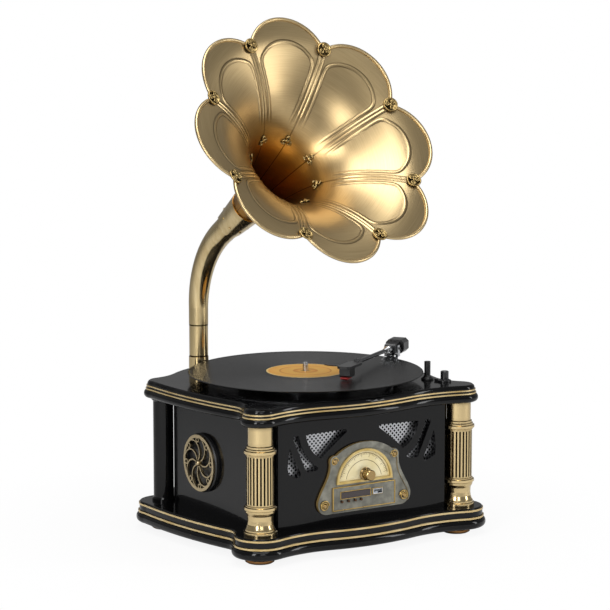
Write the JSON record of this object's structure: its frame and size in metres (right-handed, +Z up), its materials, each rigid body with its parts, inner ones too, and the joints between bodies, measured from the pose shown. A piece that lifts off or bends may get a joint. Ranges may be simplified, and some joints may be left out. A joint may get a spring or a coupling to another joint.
{
  "type": "horn gramophone",
  "caption": "Tabletop record player in a moulded black cabinet with brass columns, a radio plate, a tonearm and a swivelling petalled brass horn on a swan neck.",
  "frame": {"origin": "bottom centre of the whole object's box, on the table under the feet", "axes": "+Z up, front panel faces -Y, +X to the right seen from the front"},
  "size_m": [0.419, 0.4014, 0.6574],
  "materials": {
    "lacquer": "black piano lacquer",
    "gilt": "gilt line",
    "antique_brass": "antique satin",
    "horn_brass": "polished, lacquered amber",
    "pewter": "granular antique grey",
    "black_metal": "satin black",
    "black_plastic": "satin",
    "gloss_plastic": "gloss",
    "dial_cream": "matt",
    "chrome": "polished",
    "aluminium": "satin",
    "rubber": "matt",
    "vinyl": "grooved",
    "label_paper": "paper",
    "mesh_steel": "perforated",
    "steel": "plain",
    "board_green": "circuit board",
    "stylus_red": "gloss"
  },
  "bodies": {
    "cabinet": {"plinth": "lacquer", "plinth_gilt_lines": "gilt", "feet": "antique_brass", "side_walls": "lacquer", "front_panel": "lacquer", "rear_wall": "lacquer", "corner_uprights": "lacquer", "front_columns": "antique_brass", "rear_posts": "lacquer", "top_board": "lacquer", "top_gilt_lines": "gilt", "medallion_bezels": "black_plastic", "medallions": "antique_brass", "radio_plate": "pewter", "dial_rim": "dial_cream", "dial_face": "dial_cream", "display_window": "gloss_plastic", "usb_socket": "steel", "plate_screws": "antique_brass", "radio_board": "board_green", "grille_meshes": "mesh_steel", "speakers": "black_plastic", "power_inlet": "black_plastic", "switch_frame": "black_plastic", "line_out_jacks": "steel", "spindle_bearing": "steel", "motor": "steel", "drive_belt": "rubber", "arm_pedestal": "black_metal", "arm_rest": "black_plastic", "horn_socket": "antique_brass", "horn_driver": "black_plastic"},
    "platter": {"platter": "aluminium", "platter_mat": "rubber", "record": "vinyl", "record_label": "label_paper"},
    "motor_pulley": {"motor_pulley": "steel"},
    "arm_yoke": {"arm_yoke": "chrome"},
    "tonearm": {"arm_block": "black_metal", "counterweight": "black_metal", "arm_collar": "chrome", "arm_tube": "aluminium", "headshell": "black_metal", "cartridge": "black_plastic", "stylus": "stylus_red"},
    "tuning_knob": {"tuning_knob": "antique_brass"},
    "radio_button_1": {"radio_button_1": "antique_brass"},
    "radio_button_2": {"radio_button_2": "antique_brass"},
    "radio_button_3": {"radio_button_3": "antique_brass"},
    "radio_button_4": {"radio_button_4": "antique_brass"},
    "speed_knob": {"speed_knob": "chrome"},
    "power_switch": {"power_switch": "black_plastic"},
    "horn": {"horn_stem": "antique_brass", "swan_neck": "antique_brass", "horn_sleeve": "horn_brass", "horn_petals": "horn_brass", "horn_seams": "horn_brass", "horn_clasps": "antique_brass", "horn_ornaments": "antique_brass"}
  },
  "joints": [
    {"name": "platter_spin", "type": "hinge", "parent": "cabinet", "child": "platter", "pos_m": [0.0167, 0.00322, 0.2], "axis": [0, 0, 1], "continuous": true},
    {"name": "motor_spin", "type": "hinge", "parent": "cabinet", "child": "motor_pulley", "pos_m": [-0.0453, 0.05322, 0.19], "axis": [0, 0, 1], "continuous": true},
    {"name": "tonearm_swing", "type": "hinge", "parent": "cabinet", "child": "arm_yoke", "pos_m": [0.1757, 0.03622, 0.205], "axis": [0, 0, 1], "range_deg": [-9, 40]},
    {"name": "tonearm_lift", "type": "hinge", "parent": "arm_yoke", "child": "tonearm", "pos_m": [0.1757, 0.03622, 0.216], "axis": [-0.6018, 0.7986, 0], "range_deg": [0, 10]},
    {"name": "tuning_turn", "type": "hinge", "parent": "cabinet", "child": "tuning_knob", "pos_m": [0.0187, -0.12378, 0.095], "axis": [0, -1, 0], "range_deg": [-140, 140]},
    {"name": "radio_button_1_press", "type": "slide", "parent": "cabinet", "child": "radio_button_1", "axis": [0, 1, 0], "range_m": [0, 0.0008], "stiffness_N_per_m": 300, "springref_m": -0.0005},
    {"name": "radio_button_2_press", "type": "slide", "parent": "cabinet", "child": "radio_button_2", "axis": [0, 1, 0], "range_m": [0, 0.0008], "stiffness_N_per_m": 300, "springref_m": -0.0005},
    {"name": "radio_button_3_press", "type": "slide", "parent": "cabinet", "child": "radio_button_3", "axis": [0, 1, 0], "range_m": [0, 0.0008], "stiffness_N_per_m": 300, "springref_m": -0.0005},
    {"name": "radio_button_4_press", "type": "slide", "parent": "cabinet", "child": "radio_button_4", "axis": [0, 1, 0], "range_m": [0, 0.0008], "stiffness_N_per_m": 300, "springref_m": -0.0005},
    {"name": "speed_turn", "type": "hinge", "parent": "cabinet", "child": "speed_knob", "pos_m": [0.1607, -0.10078, 0.2], "axis": [0, 0, 1], "range_deg": [0, 60]},
    {"name": "power_rock", "type": "hinge", "parent": "cabinet", "child": "power_switch", "pos_m": [-0.0263, 0.12122, 0.061], "axis": [0, 0, 1], "range_deg": [-7, 7]},
    {"name": "horn_swivel", "type": "hinge", "parent": "cabinet", "child": "horn", "pos_m": [-0.0513, 0.15322, 0.23], "axis": [0, 0, 1], "range_deg": [-60, 60]}
  ],
  "couplings": [
    {"joint": "motor_spin", "follows": "platter_spin", "ratio": 9.1667}
  ]
}
